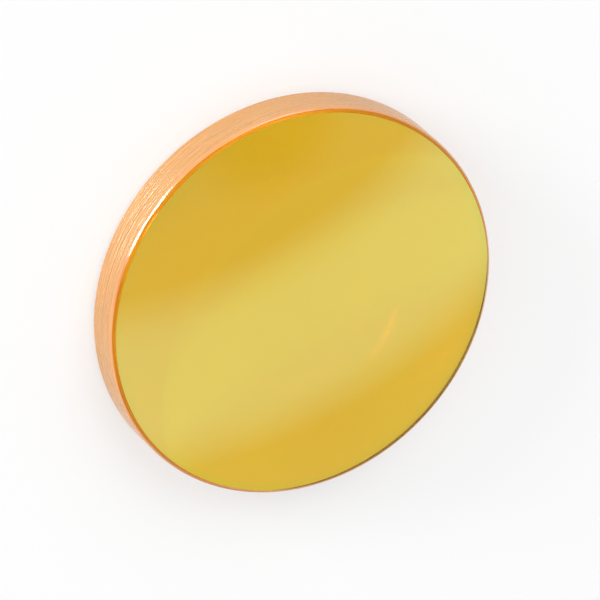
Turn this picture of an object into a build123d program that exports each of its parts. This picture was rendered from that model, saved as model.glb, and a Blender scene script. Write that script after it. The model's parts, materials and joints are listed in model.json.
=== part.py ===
from build123d import *
from math import sqrt
import os

# Plano-convex focusing lens for a carbon dioxide laser, ground and polished from one disc of
# zinc selenide. It lies on its flat face with the convex face up. The optical axis is +Z, and
# the origin is the centre of the flat face. Lengths are in millimetres.

# Driving dimensions

DIAMETER = 18.0  # across the ground edge
EDGE_THICKNESS = 2.0  # between the two faces where each is carried out to the full diameter
FOCAL_LENGTH = 25.4  # at the laser's wavelength of 10.6 micrometres
REFRACTIVE_INDEX = 2.4028  # of zinc selenide at that wavelength
CONVEX_BEVEL = 0.2  # how far the 45 degree bevel round the convex face reaches, in and down
FLAT_BEVEL = 0.2  # how far the 45 degree bevel round the flat face reaches, in and up

# Surfaces


def curvature_radius() -> float:
    """Radius of the convex face. With the other face flat, it alone sets the focal length."""
    return FOCAL_LENGTH * (REFRACTIVE_INDEX - 1)


def sag(distance: float) -> float:
    """How far the convex face has fallen below its crown at a distance from the optical axis."""
    radius = curvature_radius()
    return radius - sqrt(radius**2 - distance**2)


def convex_height(distance: float) -> float:
    """Height of the convex face above the flat face at a distance from the optical axis."""
    return EDGE_THICKNESS + sag(DIAMETER / 2) - sag(distance)


# Section and solid


def half_section() -> Face:
    """Half of the lens's section, in the XZ plane from the optical axis out to the ground edge."""
    edge = DIAMETER / 2
    flat_rim = edge - FLAT_BEVEL
    convex_rim = edge - CONVEX_BEVEL
    convex_rim_height = convex_height(convex_rim)
    crown = (0, convex_height(0))
    straight_sides = Polyline(
        crown,
        (0, 0),
        (flat_rim, 0),
        (edge, FLAT_BEVEL),
        (edge, convex_rim_height - CONVEX_BEVEL),
        (convex_rim, convex_rim_height),
    )
    polished_arc = RadiusArc(crown, (convex_rim, convex_rim_height), curvature_radius())
    return Plane.XZ * make_face(straight_sides + polished_arc)


def plano_convex_lens() -> Part:
    """The lens, turned from its half section about the optical axis."""
    lens = revolve(half_section(), Axis.Z)
    lens.label = "lens"
    return lens


# Output

os.makedirs("parts", exist_ok=True)
lens = plano_convex_lens()
export_step(lens, "parts/lens.step")
ground_edge = convex_height(DIAMETER / 2 - CONVEX_BEVEL) - CONVEX_BEVEL - FLAT_BEVEL
print(f"curvature radius {curvature_radius():.3f}, centre thickness {convex_height(0):.3f}")
print(f"ground edge {ground_edge:.3f}, volume {lens.volume:.2f}")
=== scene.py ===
"""A plano-convex focusing lens of clear golden zinc selenide, lying on a pale studio floor.

The lens rests on its flat face. The camera looks down on the convex face at the angle that the
photograph has to it. Lengths are in metres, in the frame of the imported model.
"""

import json
import logging
import math
from dataclasses import dataclass, field
from enum import Enum

import bpy
from mathutils import Matrix, Vector


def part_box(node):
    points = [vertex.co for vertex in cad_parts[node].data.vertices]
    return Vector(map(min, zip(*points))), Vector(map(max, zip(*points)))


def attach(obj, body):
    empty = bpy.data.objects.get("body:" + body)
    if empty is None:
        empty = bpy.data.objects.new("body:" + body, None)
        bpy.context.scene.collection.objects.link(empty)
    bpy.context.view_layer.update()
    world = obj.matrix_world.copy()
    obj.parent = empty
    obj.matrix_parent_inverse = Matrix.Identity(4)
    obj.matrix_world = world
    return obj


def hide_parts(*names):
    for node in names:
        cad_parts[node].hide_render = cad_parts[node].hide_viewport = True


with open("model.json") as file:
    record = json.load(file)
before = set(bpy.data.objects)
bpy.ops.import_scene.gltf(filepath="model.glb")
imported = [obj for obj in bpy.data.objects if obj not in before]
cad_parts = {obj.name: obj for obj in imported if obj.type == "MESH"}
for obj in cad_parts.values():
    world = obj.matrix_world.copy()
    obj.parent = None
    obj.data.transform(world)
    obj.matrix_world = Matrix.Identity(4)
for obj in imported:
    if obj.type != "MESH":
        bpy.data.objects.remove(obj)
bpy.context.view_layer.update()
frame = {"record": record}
MM = 0.001
BEVEL_ANGLE = math.radians(45)
LOG = logging.getLogger("lens")

Colour = tuple[float, float, float]
Setting = str | int | float | bool
SocketValue = "Wire | float | tuple[float, ...] | str | bpy.types.Material"


# Node tools


@dataclass(frozen=True)
class Wire:
    """One output socket of a node tree. Arithmetic on it adds Math nodes."""

    graph: "Graph"
    socket: bpy.types.NodeSocket

    def maths(self, operation: str, *others: "Wire | float", first: bool = True) -> "Wire":
        """Adds a Math node that takes this value.

        Args:
            operation: the Math node's operation.
            others: its other inputs, in order.
            first: whether this value goes before the others or after them.

        Returns:
            The node's result.
        """
        values = (self, *others) if first else (*others, self)
        return self.graph.add("ShaderNodeMath", {"operation": operation}, dict(enumerate(values)))

    def __add__(self, other: "Wire | float") -> "Wire":
        """This value plus another."""
        return self.maths("ADD", other)

    def __sub__(self, other: "Wire | float") -> "Wire":
        """This value less another."""
        return self.maths("SUBTRACT", other)

    def __rsub__(self, other: float) -> "Wire":
        """A number less this value."""
        return self.maths("SUBTRACT", other, first=False)

    def __mul__(self, other: "Wire | float") -> "Wire":
        """This value times another."""
        return self.maths("MULTIPLY", other)

    def __truediv__(self, other: "Wire | float") -> "Wire":
        """This value divided by another."""
        return self.maths("DIVIDE", other)

    def __pow__(self, power: float) -> "Wire":
        """This value raised to a power."""
        return self.maths("POWER", power)

    __radd__ = __add__
    __rmul__ = __mul__


@dataclass(frozen=True)
class Graph:
    """A node tree of a material, a world or a modifier, to which nodes are added."""

    tree: bpy.types.NodeTree

    def node(
        self,
        kind: str,
        settings: dict[str, Setting] | None = None,
        sockets: dict[str | int, SocketValue] | None = None,
    ) -> bpy.types.Node:
        """Adds a node.

        Args:
            kind: the node's type.
            settings: its own properties, which are set first.
            sockets: values or wires for its inputs, by name or by number.

        Returns:
            The new node.
        """
        made = self.tree.nodes.new(kind)
        for name, value in (settings or {}).items():
            setattr(made, name, value)
        for name, value in (sockets or {}).items():
            if isinstance(value, Wire):
                self.tree.links.new(value.socket, made.inputs[name])
            else:
                made.inputs[name].default_value = value
        return made

    def add(
        self,
        kind: str,
        settings: dict[str, Setting] | None = None,
        sockets: dict[str | int, SocketValue] | None = None,
        output: str | int = 0,
    ) -> Wire:
        """Adds a node as node() does, and returns one of its outputs, by name or by number."""
        return Wire(self, self.node(kind, settings, sockets).outputs[output])

    def blend(self, share: "Wire | float", low: "Wire | Colour", high: "Wire | Colour") -> Wire:
        """Mixes two colours.

        Args:
            share: how much of the second colour to take.
            low: the first colour.
            high: the second colour.

        Returns:
            The mixed colour.
        """
        low, high = (c if isinstance(c, Wire) else (*c, 1) for c in (low, high))
        settings = {"data_type": "RGBA", "clamp_factor": True}
        return self.add("ShaderNodeMix", settings, {0: share, 6: low, 7: high}, 2)

    def dot(self, vector: Wire, other: Colour) -> Wire:
        """Adds the dot product of a vector and a fixed one."""
        sockets = {0: vector, 1: other}
        return self.add("ShaderNodeVectorMath", {"operation": "DOT_PRODUCT"}, sockets, "Value")

    def axes(self, vector: Wire) -> list[Wire]:
        """Takes a vector apart into its X, Y and Z."""
        apart = self.node("ShaderNodeSeparateXYZ", sockets={0: vector})
        return [Wire(self, output) for output in apart.outputs]


# Finishes


@dataclass(frozen=True)
class ZincSelenide:
    """The clear golden crystal that the lens is ground from."""

    taken_per_mm: Colour = (0.02, 0.08, 2.0)

    def fill(self, graph: Graph) -> Wire:
        """Adds the absorption of light inside the crystal to a material.

        Args:
            graph: the material's nodes.

        Returns:
            The volume shader, which takes mostly blue.
        """
        most = max(self.taken_per_mm)
        kept = tuple(1 - taken / most for taken in self.taken_per_mm)
        return graph.add(
            "ShaderNodeVolumeAbsorption", sockets={"Color": (*kept, 1), "Density": most / MM}
        )


@dataclass(frozen=True)
class Finish:
    """What all surfaces of the lens share: clear crystal behind a skin of its own."""

    name: str
    crystal: ZincSelenide
    tint: Colour = (1, 1, 1)
    shine_tint: Colour = (1, 1, 1)
    clearness: float = 1.0
    refraction: float = 2.4

    def skin(self, graph: Graph) -> dict[str, SocketValue]:
        """Sockets of the shader that vary over the surface.

        Args:
            graph: the material's nodes.

        Returns:
            Wires by the shader's input names.
        """
        return {}

    def material(self) -> bpy.types.Material:
        """Builds the finish.

        Returns:
            A material with its surface shader and the crystal's absorption.
        """
        made = bpy.data.materials.new(self.name)
        made.use_nodes = True
        made.node_tree.nodes.clear()
        graph = Graph(made.node_tree)
        sockets = {
            "Base Color": (*self.tint, 1),
            "IOR": self.refraction,
            "Specular Tint": (*self.shine_tint, 1),
            "Transmission Weight": self.clearness,
        }
        surface = graph.add("ShaderNodeBsdfPrincipled", sockets=sockets | self.skin(graph))
        graph.node(
            "ShaderNodeOutputMaterial",
            sockets={"Surface": surface, "Volume": self.crystal.fill(graph)},
        )
        return made


@dataclass(frozen=True)
class CoatedPolish(Finish):
    """A polished face under its coating, which mirrors blue-green and takes some of the light.

    The coating thins out in a narrow margin inside the face's rim, and looks greener there.
    """

    rim: float = 8.8 * MM
    margin: float = 0.5 * MM
    margin_tint: Colour = (0.78, 0.76, 1)
    haze: float = 0.02
    haze_patch: float = 2.5 * MM

    def skin(self, graph: Graph) -> dict[str, SocketValue]:
        """Tints the margin, and leaves the polish clear but for the faintest haze in patches.

        Args:
            graph: the material's nodes.

        Returns:
            Wires by the shader's input names.
        """
        place = graph.add("ShaderNodeTexCoord", output="Object")
        x, y, _ = graph.axes(place)
        thinned = graph.add(
            "ShaderNodeMapRange",
            {"interpolation_type": "SMOOTHSTEP"},
            {
                "Value": (x * x + y * y) ** 0.5,
                "From Min": self.rim - self.margin,
                "From Max": self.rim,
            },
        )
        patches = graph.add(
            "ShaderNodeTexNoise", sockets={"Vector": place, "Scale": 1 / self.haze_patch}
        )
        return {
            "Base Color": graph.blend(thinned, self.tint, self.margin_tint),
            "Roughness": patches * self.haze,
        }


@dataclass(frozen=True)
class FineGrind(Finish):
    """A finely ground surface with the marks of its cutting, which run round the rim.

    The marks come from noise, which leaves none under faint_mark and is at its deepest from
    full_mark on.
    """

    deep_tint: Colour = (0.9, 0.5, 0.2)
    roughness: float = 0.35
    roughness_swing: float = 0.15
    marks_per_mm: float = 10
    mark_length: float = 3 * MM
    mark_depth: float = 0.03 * MM
    noise_detail: float = 4
    faint_mark: float = 0.3
    full_mark: float = 0.7

    def skin(self, graph: Graph) -> dict[str, SocketValue]:
        """Adds streaks along the cut to the colour, the roughness and the relief.

        Args:
            graph: the material's nodes.

        Returns:
            Wires by the shader's input names.
        """
        place = graph.add("ShaderNodeTexCoord", output="Object")
        along = 1 / self.mark_length
        stretched = graph.add(
            "ShaderNodeVectorMath",
            {"operation": "MULTIPLY"},
            {0: place, 1: (along, along, self.marks_per_mm / MM)},
        )
        noise = graph.add(
            "ShaderNodeTexNoise",
            sockets={"Vector": stretched, "Scale": 1, "Detail": self.noise_detail},
        )
        marks = graph.add(
            "ShaderNodeMapRange",
            sockets={"Value": noise, "From Min": self.faint_mark, "From Max": self.full_mark},
        )
        colour = graph.blend(marks, self.deep_tint, self.tint)
        relief = graph.add(
            "ShaderNodeBump", sockets={"Height": marks, "Distance": self.mark_depth}
        )
        return {
            "Base Color": colour,
            "Roughness": marks * self.roughness_swing + self.roughness,
            "Normal": relief,
        }


# Lens


class Zone(Enum):
    """The surfaces of the lens, from the crown outwards and down."""

    CONVEX_FACE = 0
    CONVEX_BEVEL = 1
    ARRIS = 2
    EDGE = 3
    FLAT_BEVEL = 4
    FLAT_FACE = 5


@dataclass
class PlanoConvexLens:
    """The lens as one closed surface, turned about the optical axis.

    The arris is the radius of the worn corner between the ground edge and the convex bevel. The
    rows count the rings of faces in a zone. Faces that meet at more than sharpest_smooth, in
    degrees, keep a sharp edge between them.
    """

    radius: float
    crown: float
    edge_low: float
    edge_high: float
    bevel: float
    arris: float = 0.25 * MM
    finishes: dict[Zone, bpy.types.Material] = field(default_factory=dict)
    around: int = 384
    face_rows: int = 48
    flat_rows: int = 24
    bevel_rows: int = 2
    arris_rows: int = 6
    edge_rows: int = 8
    seam: float = 1e-7
    sharpest_smooth: float = 15

    @classmethod
    def from_frame(cls, bevel: float) -> "PlanoConvexLens":
        """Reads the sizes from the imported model.

        Args:
            bevel: how far the bevel round the convex face reaches inwards and down.

        Returns:
            A lens with no finishes yet.
        """
        rim = next(m for m in frame["record"]["mounts"] if m["name"] == "rim")
        middle, half = rim["pos_m"][2], rim["dims"]["length_mm"] * MM / 2
        return cls(
            radius=rim["dims"]["r_mm"] * MM,
            crown=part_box("lens")[1][2],
            edge_low=middle - half,
            edge_high=middle + half,
            bevel=bevel,
        )

    @property
    def curvature(self) -> float:
        """Radius of the sphere through the crown and the top of the bevel."""
        reach, rise = self.radius - self.bevel, self.crown - self.edge_high - self.bevel
        return (reach**2 + rise**2) / (2 * rise)

    @property
    def sizes(self) -> dict[str, float]:
        """The sizes that the node tree takes.

        Returns:
            Lengths by the names of the tree's inputs.
        """
        return {
            "Radius": self.radius,
            "Crown": self.crown,
            "Curvature": self.curvature,
            "Edge Low": self.edge_low,
            "Edge High": self.edge_high,
            "Convex Bevel": self.bevel,
            "Arris": self.arris,
        }

    def dress(self) -> None:
        """Gives each zone of the lens its finish."""
        crystal = ZincSelenide()
        coated = CoatedPolish(
            "coated_polish", crystal, tint=(0.84, 0.74, 1), shine_tint=(0.25, 0.97, 0.7)
        ).material()
        ground = FineGrind(
            "fine_grind",
            crystal,
            tint=(1, 0.5, 0.11),
            deep_tint=(0.9, 0.4, 0.05),
            shine_tint=(1, 0.9, 0.75),
            clearness=0.5,
            roughness=0.18,
            roughness_swing=0.1,
            mark_depth=0.04 * MM,
        ).material()
        # Painted shade: the bevel's dark deep orange stands in for the deep colour of light that
        # crossed the crystal the long way behind it, where the ground surface itself is peach like
        # the edge.
        bevel = FineGrind(
            "bevel_grind",
            crystal,
            tint=(0.85, 0.34, 0.003),
            deep_tint=(0.72, 0.25, 0.002),
            shine_tint=(1, 0.45, 0.06),
            clearness=0.55,
            roughness=0.2,
            mark_depth=0.01 * MM,
        ).material()
        # Partly painted shade: the rounded corner's colour lies between the edge's own peach and
        # the bevel's painted dark orange, so that it carries that painted shade onto the corner.
        rubbed = FineGrind(
            "rubbed_arris",
            crystal,
            tint=(0.92, 0.4, 0.06),
            deep_tint=(0.8, 0.25, 0.02),
            clearness=0.35,
            roughness=0.12,
            roughness_swing=0.1,
            mark_depth=0.01 * MM,
        ).material()
        # Partly painted light: this ground face's own colour is made paler to lift the dark line
        # that light trapped in the crystal leaves on it when it is seen through the lens.
        hidden_bevel = FineGrind(
            "hidden_bevel_grind",
            crystal,
            tint=(1, 0.6, 0.15),
            deep_tint=(0.9, 0.45, 0.08),
            clearness=0.7,
            refraction=1.6,
            roughness=0.4,
            mark_depth=0.01 * MM,
        ).material()
        self.finishes = {
            Zone.CONVEX_FACE: coated,
            Zone.CONVEX_BEVEL: bevel,
            Zone.ARRIS: rubbed,
            Zone.EDGE: ground,
            Zone.FLAT_BEVEL: hidden_bevel,
            Zone.FLAT_FACE: coated,
        }

    def shape_tree(self) -> bpy.types.NodeTree:
        """Builds the modifier's node tree.

        Returns:
            A tree that joins one turned band for each zone, with the lens's sizes as inputs.
        """
        tree = bpy.data.node_groups.new("turned_lens", "GeometryNodeTree")
        graph = Graph(tree)
        tree.interface.new_socket("Lens", in_out="OUTPUT", socket_type="NodeSocketGeometry")
        for name in self.sizes:
            tree.interface.new_socket(name, in_out="INPUT", socket_type="NodeSocketFloat")
        given = graph.node("NodeGroupInput")
        size = {name: Wire(graph, given.outputs[name]) for name in self.sizes}
        radius, low, high = size["Radius"], size["Edge Low"], size["Edge High"]
        inner_top, inner_low = radius - size["Convex Bevel"], radius - low
        top = high + size["Convex Bevel"]
        reach = size["Arris"] * math.tan(BEVEL_ANGLE / 2)
        aside = reach * math.cos(BEVEL_ANGLE)
        wall_top, arris_in, arris_top = high - reach, radius - aside, high + aside
        bands = {
            Zone.CONVEX_FACE: self.band(graph, inner_top, 0.0, top, 0.0, self.face_rows),
            Zone.CONVEX_BEVEL: self.band(
                graph, arris_in, inner_top, arris_top, top - arris_top, self.bevel_rows
            ),
            Zone.ARRIS: self.band(
                graph, radius, arris_in, wall_top, arris_top - wall_top, self.arris_rows
            ),
            Zone.EDGE: self.band(graph, radius, radius, low, wall_top - low, self.edge_rows),
            Zone.FLAT_BEVEL: self.band(graph, inner_low, radius, 0.0, low, self.bevel_rows),
            Zone.FLAT_FACE: self.band(graph, 0.0, inner_low, 0.0, 0.0, self.flat_rows),
        }
        bands[Zone.ARRIS] = self.rounded(graph, bands[Zone.ARRIS], size, wall_top)
        bands[Zone.CONVEX_FACE] = self.raised_to_sphere(graph, bands[Zone.CONVEX_FACE], size)
        joined = graph.node("GeometryNodeJoinGeometry")
        for zone, band in reversed(bands.items()):
            marked = graph.add(
                "GeometryNodeStoreNamedAttribute",
                {"data_type": "INT", "domain": "FACE"},
                {"Geometry": band, "Name": "zone", "Value": zone.value},
            )
            tree.links.new(marked.socket, joined.inputs[0])
        self.finished(graph, Wire(graph, joined.outputs[0]))
        return tree

    def band(
        self,
        graph: Graph,
        low_radius: "Wire | float",
        high_radius: "Wire | float",
        low: "Wire | float",
        height: "Wire | float",
        steps: int,
    ) -> Wire:
        """Adds one turned band of the surface.

        Args:
            graph: the tree to add it to.
            low_radius: radius of its lower rim, or of the outer one where it is flat and faces up.
            high_radius: radius of its upper rim.
            low: height of its lower rim.
            height: how far the upper rim lies above it.
            steps: rows of faces between the rims.

        Returns:
            The band's mesh.
        """
        cone = graph.add(
            "GeometryNodeMeshCone",
            {"fill_type": "NONE"},
            {
                "Vertices": self.around,
                "Side Segments": steps,
                "Radius Top": high_radius,
                "Radius Bottom": low_radius,
                "Depth": height,
            },
        )
        place = graph.add("ShaderNodeCombineXYZ", sockets={"Z": low})
        return graph.add(
            "GeometryNodeTransform", sockets={"Geometry": cone, "Translation": place}
        )

    def raised_to_sphere(self, graph: Graph, disc: Wire, size: dict[str, Wire]) -> Wire:
        """Lifts a flat disc to the convex face's sphere.

        Args:
            graph: the tree to add the nodes to.
            disc: the disc.
            size: the lens's sizes.

        Returns:
            The raised disc.
        """
        x, y, _ = graph.axes(graph.add("GeometryNodeInputPosition"))
        rise = (size["Curvature"] ** 2 - x * x - y * y) ** 0.5
        height = size["Crown"] - size["Curvature"] + rise
        raised = graph.add("ShaderNodeCombineXYZ", sockets={"X": x, "Y": y, "Z": height})
        return graph.add(
            "GeometryNodeSetPosition", sockets={"Geometry": disc, "Position": raised}
        )

    def rounded(self, graph: Graph, band: Wire, size: dict[str, Wire], low: Wire) -> Wire:
        """Bends the straight band between the edge and the convex bevel to a round arris.

        Args:
            graph: the tree to add the nodes to.
            band: the straight band.
            size: the lens's sizes.
            low: height of the band's lower rim.

        Returns:
            The rounded band, which meets the edge and the bevel without a crease.
        """
        x, y, z = graph.axes(graph.add("GeometryNodeInputPosition"))
        angle = (z - low) / (size["Arris"] * math.sin(BEVEL_ANGLE)) * BEVEL_ANGLE
        here = (x * x + y * y) ** 0.5
        there = size["Radius"] - size["Arris"] + size["Arris"] * angle.maths("COSINE")
        height = low + size["Arris"] * angle.maths("SINE")
        pull = there / here
        bent = graph.add(
            "ShaderNodeCombineXYZ", sockets={"X": x * pull, "Y": y * pull, "Z": height}
        )
        return graph.add("GeometryNodeSetPosition", sockets={"Geometry": band, "Position": bent})

    def finished(self, graph: Graph, bands: Wire) -> None:
        """Closes the seams, keeps the bevels' rims sharp, and dresses each zone.

        Args:
            graph: the tree, which gets its output here.
            bands: the joined bands.
        """
        closed = graph.add(
            "GeometryNodeMergeByDistance", sockets={"Geometry": bands, "Distance": self.seam}
        )
        smooth = graph.add("GeometryNodeSetShadeSmooth", sockets={"Geometry": closed})
        bend = graph.add("GeometryNodeInputMeshEdgeAngle")
        sharp = bend.maths("GREATER_THAN", math.radians(self.sharpest_smooth))
        body = graph.add(
            "GeometryNodeStoreNamedAttribute",
            {"data_type": "BOOLEAN", "domain": "EDGE"},
            {"Geometry": smooth, "Name": "sharp_edge", "Value": sharp},
        )
        zone = graph.add("GeometryNodeInputNamedAttribute", {"data_type": "INT"}, {"Name": "zone"})
        body = graph.add("GeometryNodeRealizeInstances", sockets={"Geometry": body})
        for here, material in self.finishes.items():
            body = graph.add(
                "GeometryNodeSetMaterial",
                sockets={
                    "Geometry": body,
                    "Selection": zone.maths("COMPARE", float(here.value), 0.5),
                    "Material": material,
                },
            )
        graph.node("NodeGroupOutput", sockets={0: body})

    def build(self) -> bpy.types.Object:
        """Runs the tree once and keeps its result.

        Returns:
            The lens as a plain mesh object that rides on the root body.
        """
        blank = bpy.data.objects.new("lens_blank", bpy.data.meshes.new("lens_blank"))
        bpy.context.scene.collection.objects.link(blank)
        turning = blank.modifiers.new("turned_lens", "NODES")
        turning.node_group = self.shape_tree()
        for socket in turning.node_group.interface.items_tree:
            if socket.in_out == "INPUT":
                turning[socket.identifier] = self.sizes[socket.name]
        graph = bpy.context.evaluated_depsgraph_get()
        mesh = bpy.data.meshes.new_from_object(blank.evaluated_get(graph), depsgraph=graph)
        bpy.data.objects.remove(blank)
        mesh.name = "focusing_lens"
        lens = bpy.data.objects.new("focusing_lens", mesh)
        bpy.context.scene.collection.objects.link(lens)
        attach(lens, "root")
        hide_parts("lens")
        return lens


# Studio


@dataclass(frozen=True)
class Floor:
    """A plain pale floor just under the lens, which is white where it is seen through the lens."""

    half_width: float = 0.5
    gap: float = 0.02 * MM
    colour: Colour = (0.95, 0.95, 0.95)
    white_to_camera: float = 0.5
    white_through_glass: float = 0.85

    def material(self) -> bpy.types.Material:
        """Builds the floor's material, which can be looked through from below.

        Returns:
            Pale matt paint, with a share of plain white for rays from the camera, and for rays
            that come off or out of the glass.
        """
        made = bpy.data.materials.new("pale_floor")
        made.use_nodes = True
        made.node_tree.nodes.clear()
        graph = Graph(made.node_tree)
        ray = graph.node("ShaderNodeLightPath")
        from_camera = Wire(graph, ray.outputs["Is Camera Ray"])
        from_mirror = Wire(graph, ray.outputs["Is Glossy Ray"])
        from_glass = Wire(graph, ray.outputs["Is Transmission Ray"])
        share = from_camera * self.white_to_camera + (
            from_mirror.maths("MAXIMUM", from_glass) * self.white_through_glass
        )
        paint = graph.add("ShaderNodeBsdfDiffuse", sockets={"Color": (*self.colour, 1)})
        white = graph.add("ShaderNodeEmission")
        above = graph.add("ShaderNodeMixShader", sockets={0: share, 1: paint, 2: white})
        below = graph.add("ShaderNodeNewGeometry", output="Backfacing")
        clear = graph.add("ShaderNodeBsdfTransparent")
        mix = graph.add("ShaderNodeMixShader", sockets={0: below, 1: above, 2: clear})
        graph.node("ShaderNodeOutputMaterial", sockets={"Surface": mix})
        return made

    def build(self) -> bpy.types.Object:
        """Makes the floor.

        Returns:
            The floor's object.
        """
        corners = [
            (x * self.half_width, y * self.half_width, -self.gap)
            for x, y in ((-1, -1), (1, -1), (1, 1), (-1, 1))
        ]
        mesh = bpy.data.meshes.new("floor")
        mesh.from_pydata(corners, [], [(0, 1, 2, 3)])
        mesh.materials.append(self.material())
        floor = bpy.data.objects.new("floor", mesh)
        bpy.context.scene.collection.objects.link(floor)
        return floor


def direction(azimuth: float, elevation: float) -> Vector:
    """Turns two angles into a direction from the lens.

    Args:
        azimuth: 0 on the camera's side, growing towards +X, in degrees.
        elevation: height over the horizon, in degrees.

    Returns:
        The direction, with a length of 1.
    """
    turn, rise = math.radians(azimuth), math.radians(elevation)
    flat = math.cos(rise)
    return Vector((math.sin(turn) * flat, -math.cos(turn) * flat, math.sin(rise)))


@dataclass(frozen=True)
class SoftBox:
    """An oblong area lamp that points at the lens, with its width level.

    The azimuth is 0 on the camera's side and grows towards +X. The brightness is what the lamp
    alone gives a white surface that faces it.
    """

    name: str
    azimuth: float
    elevation: float
    width: float
    height: float
    brightness: float
    distance: float = 0.5

    def build(self) -> bpy.types.Object:
        """Makes the lamp.

        Returns:
            The lamp's object.
        """
        lamp = bpy.data.lights.new(self.name, "AREA")
        lamp.shape = "RECTANGLE"
        lamp.size, lamp.size_y = self.width, self.height
        lamp.energy = 4 * math.pi * self.distance**2 * self.brightness
        box = bpy.data.objects.new(self.name, lamp)
        way = direction(self.azimuth, self.elevation)
        box.location = way * self.distance
        box.rotation_mode = "QUATERNION"
        box.rotation_quaternion = way.to_track_quat("Z", "Y")
        bpy.context.scene.collection.objects.link(box)
        return box


@dataclass(frozen=True)
class RoomPatch:
    """A round part of the room with its own level of light and a soft border."""

    azimuth: float
    elevation: float
    radius: float
    softness: float
    level: float

    def over(self, graph: Graph, way: Wire, strength: Wire | float) -> Wire:
        """Lays the patch over the rest of the room.

        Args:
            graph: the world's nodes.
            way: the direction looked in.
            strength: the room's light without the patch.

        Returns:
            The room's light with the patch.
        """
        centre = tuple(direction(self.azimuth, self.elevation))
        near = graph.dot(way, centre)
        outer, inner = (
            math.cos(math.radians(self.radius + side * self.softness)) for side in (1, -1)
        )
        share = graph.add(
            "ShaderNodeMapRange",
            {"interpolation_type": "SMOOTHSTEP"},
            {"Value": near, "From Min": outer, "From Max": inner},
        )
        return (self.level - strength) * share + strength


@dataclass(frozen=True)
class SoftRoom:
    """The light of a plain pale room, as the convex face mirrors it to the camera.

    The face mirrors the part of the room above and beyond the lens. That part is dimmer, and an
    arch of brighter light rises through it from the horizon on the left and on the right. The
    last patch is bright, and lights the ground edge from the top of the picture.
    """

    level: float = 0.8
    patches: tuple[RoomPatch, ...] = (
        RoomPatch(azimuth=180, elevation=61, radius=46, softness=9, level=0.34),
        RoomPatch(azimuth=-113, elevation=72, radius=8, softness=8, level=0.1),
        RoomPatch(azimuth=-55, elevation=38, radius=20, softness=14, level=2.8),
    )
    arch_level: float = 1.0
    arch_rise: float = 52
    arch_turn: float = -25
    arch_half_width: float = 14
    arch_softness: float = 8

    def arch(self, graph: Graph, way: Wire) -> Wire:
        """Adds the arch, a band round the middle of the room that leans beyond the lens.

        Args:
            graph: the world's nodes.
            way: the direction looked in.

        Returns:
            The arch's light, which is nothing outside it.
        """
        rise, turn = math.radians(self.arch_rise), math.radians(self.arch_turn)
        up = Vector((0, -math.sin(rise), math.cos(rise)))
        across = tuple(up * math.cos(turn) + Vector((math.sin(turn), 0, 0)))
        off = graph.dot(way, across)
        inner, outer = (
            math.sin(math.radians(self.arch_half_width + side * self.arch_softness))
            for side in (-1, 1)
        )
        sockets = {
            "Value": off.maths("ABSOLUTE"),
            "From Min": inner,
            "From Max": outer,
            "To Min": self.arch_level,
            "To Max": 0.0,
        }
        return graph.add("ShaderNodeMapRange", {"interpolation_type": "SMOOTHSTEP"}, sockets)

    def build(self) -> None:
        """Sets the scene's world."""
        world = bpy.data.worlds.new("soft_room")
        bpy.context.scene.world = world
        world.use_nodes = True
        world.node_tree.nodes.clear()
        graph = Graph(world.node_tree)
        way = graph.add("ShaderNodeTexCoord", output="Generated")
        strength = self.level
        for patch in self.patches:
            strength = patch.over(graph, way, strength)
        strength = self.arch(graph, way).maths("MAXIMUM", strength)
        white = (1, 1, 1, 1)
        light = graph.add("ShaderNodeBackground", sockets={"Color": white, "Strength": strength})
        graph.node("ShaderNodeOutputWorld", sockets={"Surface": light})


@dataclass(frozen=True)
class PhotoCamera:
    """A camera that sees the lens as the photograph does.

    The lens's axis has the same tilt to the line of sight and the same turn in the picture.
    """

    off_axis: float = 35.5
    axis_turn: float = -42.5
    distance_in_radii: float = 34.9
    share_of_frame: float = 0.7
    sensor: float = 36.0
    nearest: float = 0.01
    farthest: float = 10

    def build(self, lens: PlanoConvexLens) -> bpy.types.Object:
        """Makes the camera and sets it as the scene's.

        Args:
            lens: the lens to look at.

        Returns:
            The camera's object.
        """
        tilt, turn = math.radians(self.off_axis), math.radians(self.axis_turn)
        back = Vector((0, -math.sin(tilt), math.cos(tilt)))
        axis = (Vector((0, 0, 1)) - back * back.z).normalized()
        across = back.cross(axis)
        right = axis * math.cos(turn) - across * math.sin(turn)
        up = axis * math.sin(turn) + across * math.cos(turn)
        distance = self.distance_in_radii * lens.radius
        target = Vector((0, 0, (lens.crown + lens.edge_low) / 2))
        data = bpy.data.cameras.new("camera")
        data.sensor_width = self.sensor
        data.lens = self.share_of_frame * self.sensor * distance / (2 * lens.radius)
        data.clip_start, data.clip_end = self.nearest, self.farthest
        camera = bpy.data.objects.new("camera", data)
        place = Matrix((right, up, back)).transposed().to_4x4()
        place.translation = target + back * distance
        camera.matrix_world = place
        bpy.context.scene.collection.objects.link(camera)
        bpy.context.scene.camera = camera
        return camera


def free_light_paths(scene: bpy.types.Scene, bounces: int = 32) -> None:
    """Lets light that is totally reflected inside the lens find its way out.

    Args:
        scene: the scene to set.
        bounces: how often light may turn on its way.
    """
    scene.cycles.blur_glossy = 0
    for kind in ("max", "transmission", "glossy", "diffuse"):
        setattr(scene.cycles, f"{kind}_bounces", bounces)


def main() -> None:
    """Builds the lens and its studio, and reports each piece."""
    logging.basicConfig(level=logging.INFO, format="%(name)s: %(message)s")
    bpy.context.scene.view_settings.view_transform = "Standard"
    free_light_paths(bpy.context.scene)
    lens = PlanoConvexLens.from_frame(bevel=0.2 * MM)
    lens.dress()
    piece = lens.build()
    faces, curvature = len(piece.data.polygons), lens.curvature / MM
    LOG.info("%s: %d faces, convex radius %.2f mm", piece.name, faces, curvature)
    for part in (
        Floor().build(),
        SoftBox("low_lamp", 18, 9, width=0.24, height=0.16, brightness=0.7).build(),
        PhotoCamera().build(lens),
    ):
        LOG.info("studio: %s", part.name)
    SoftRoom().build()
    LOG.info("studio: %s", bpy.context.scene.world.name)


if __name__ == "__main__":
    main()
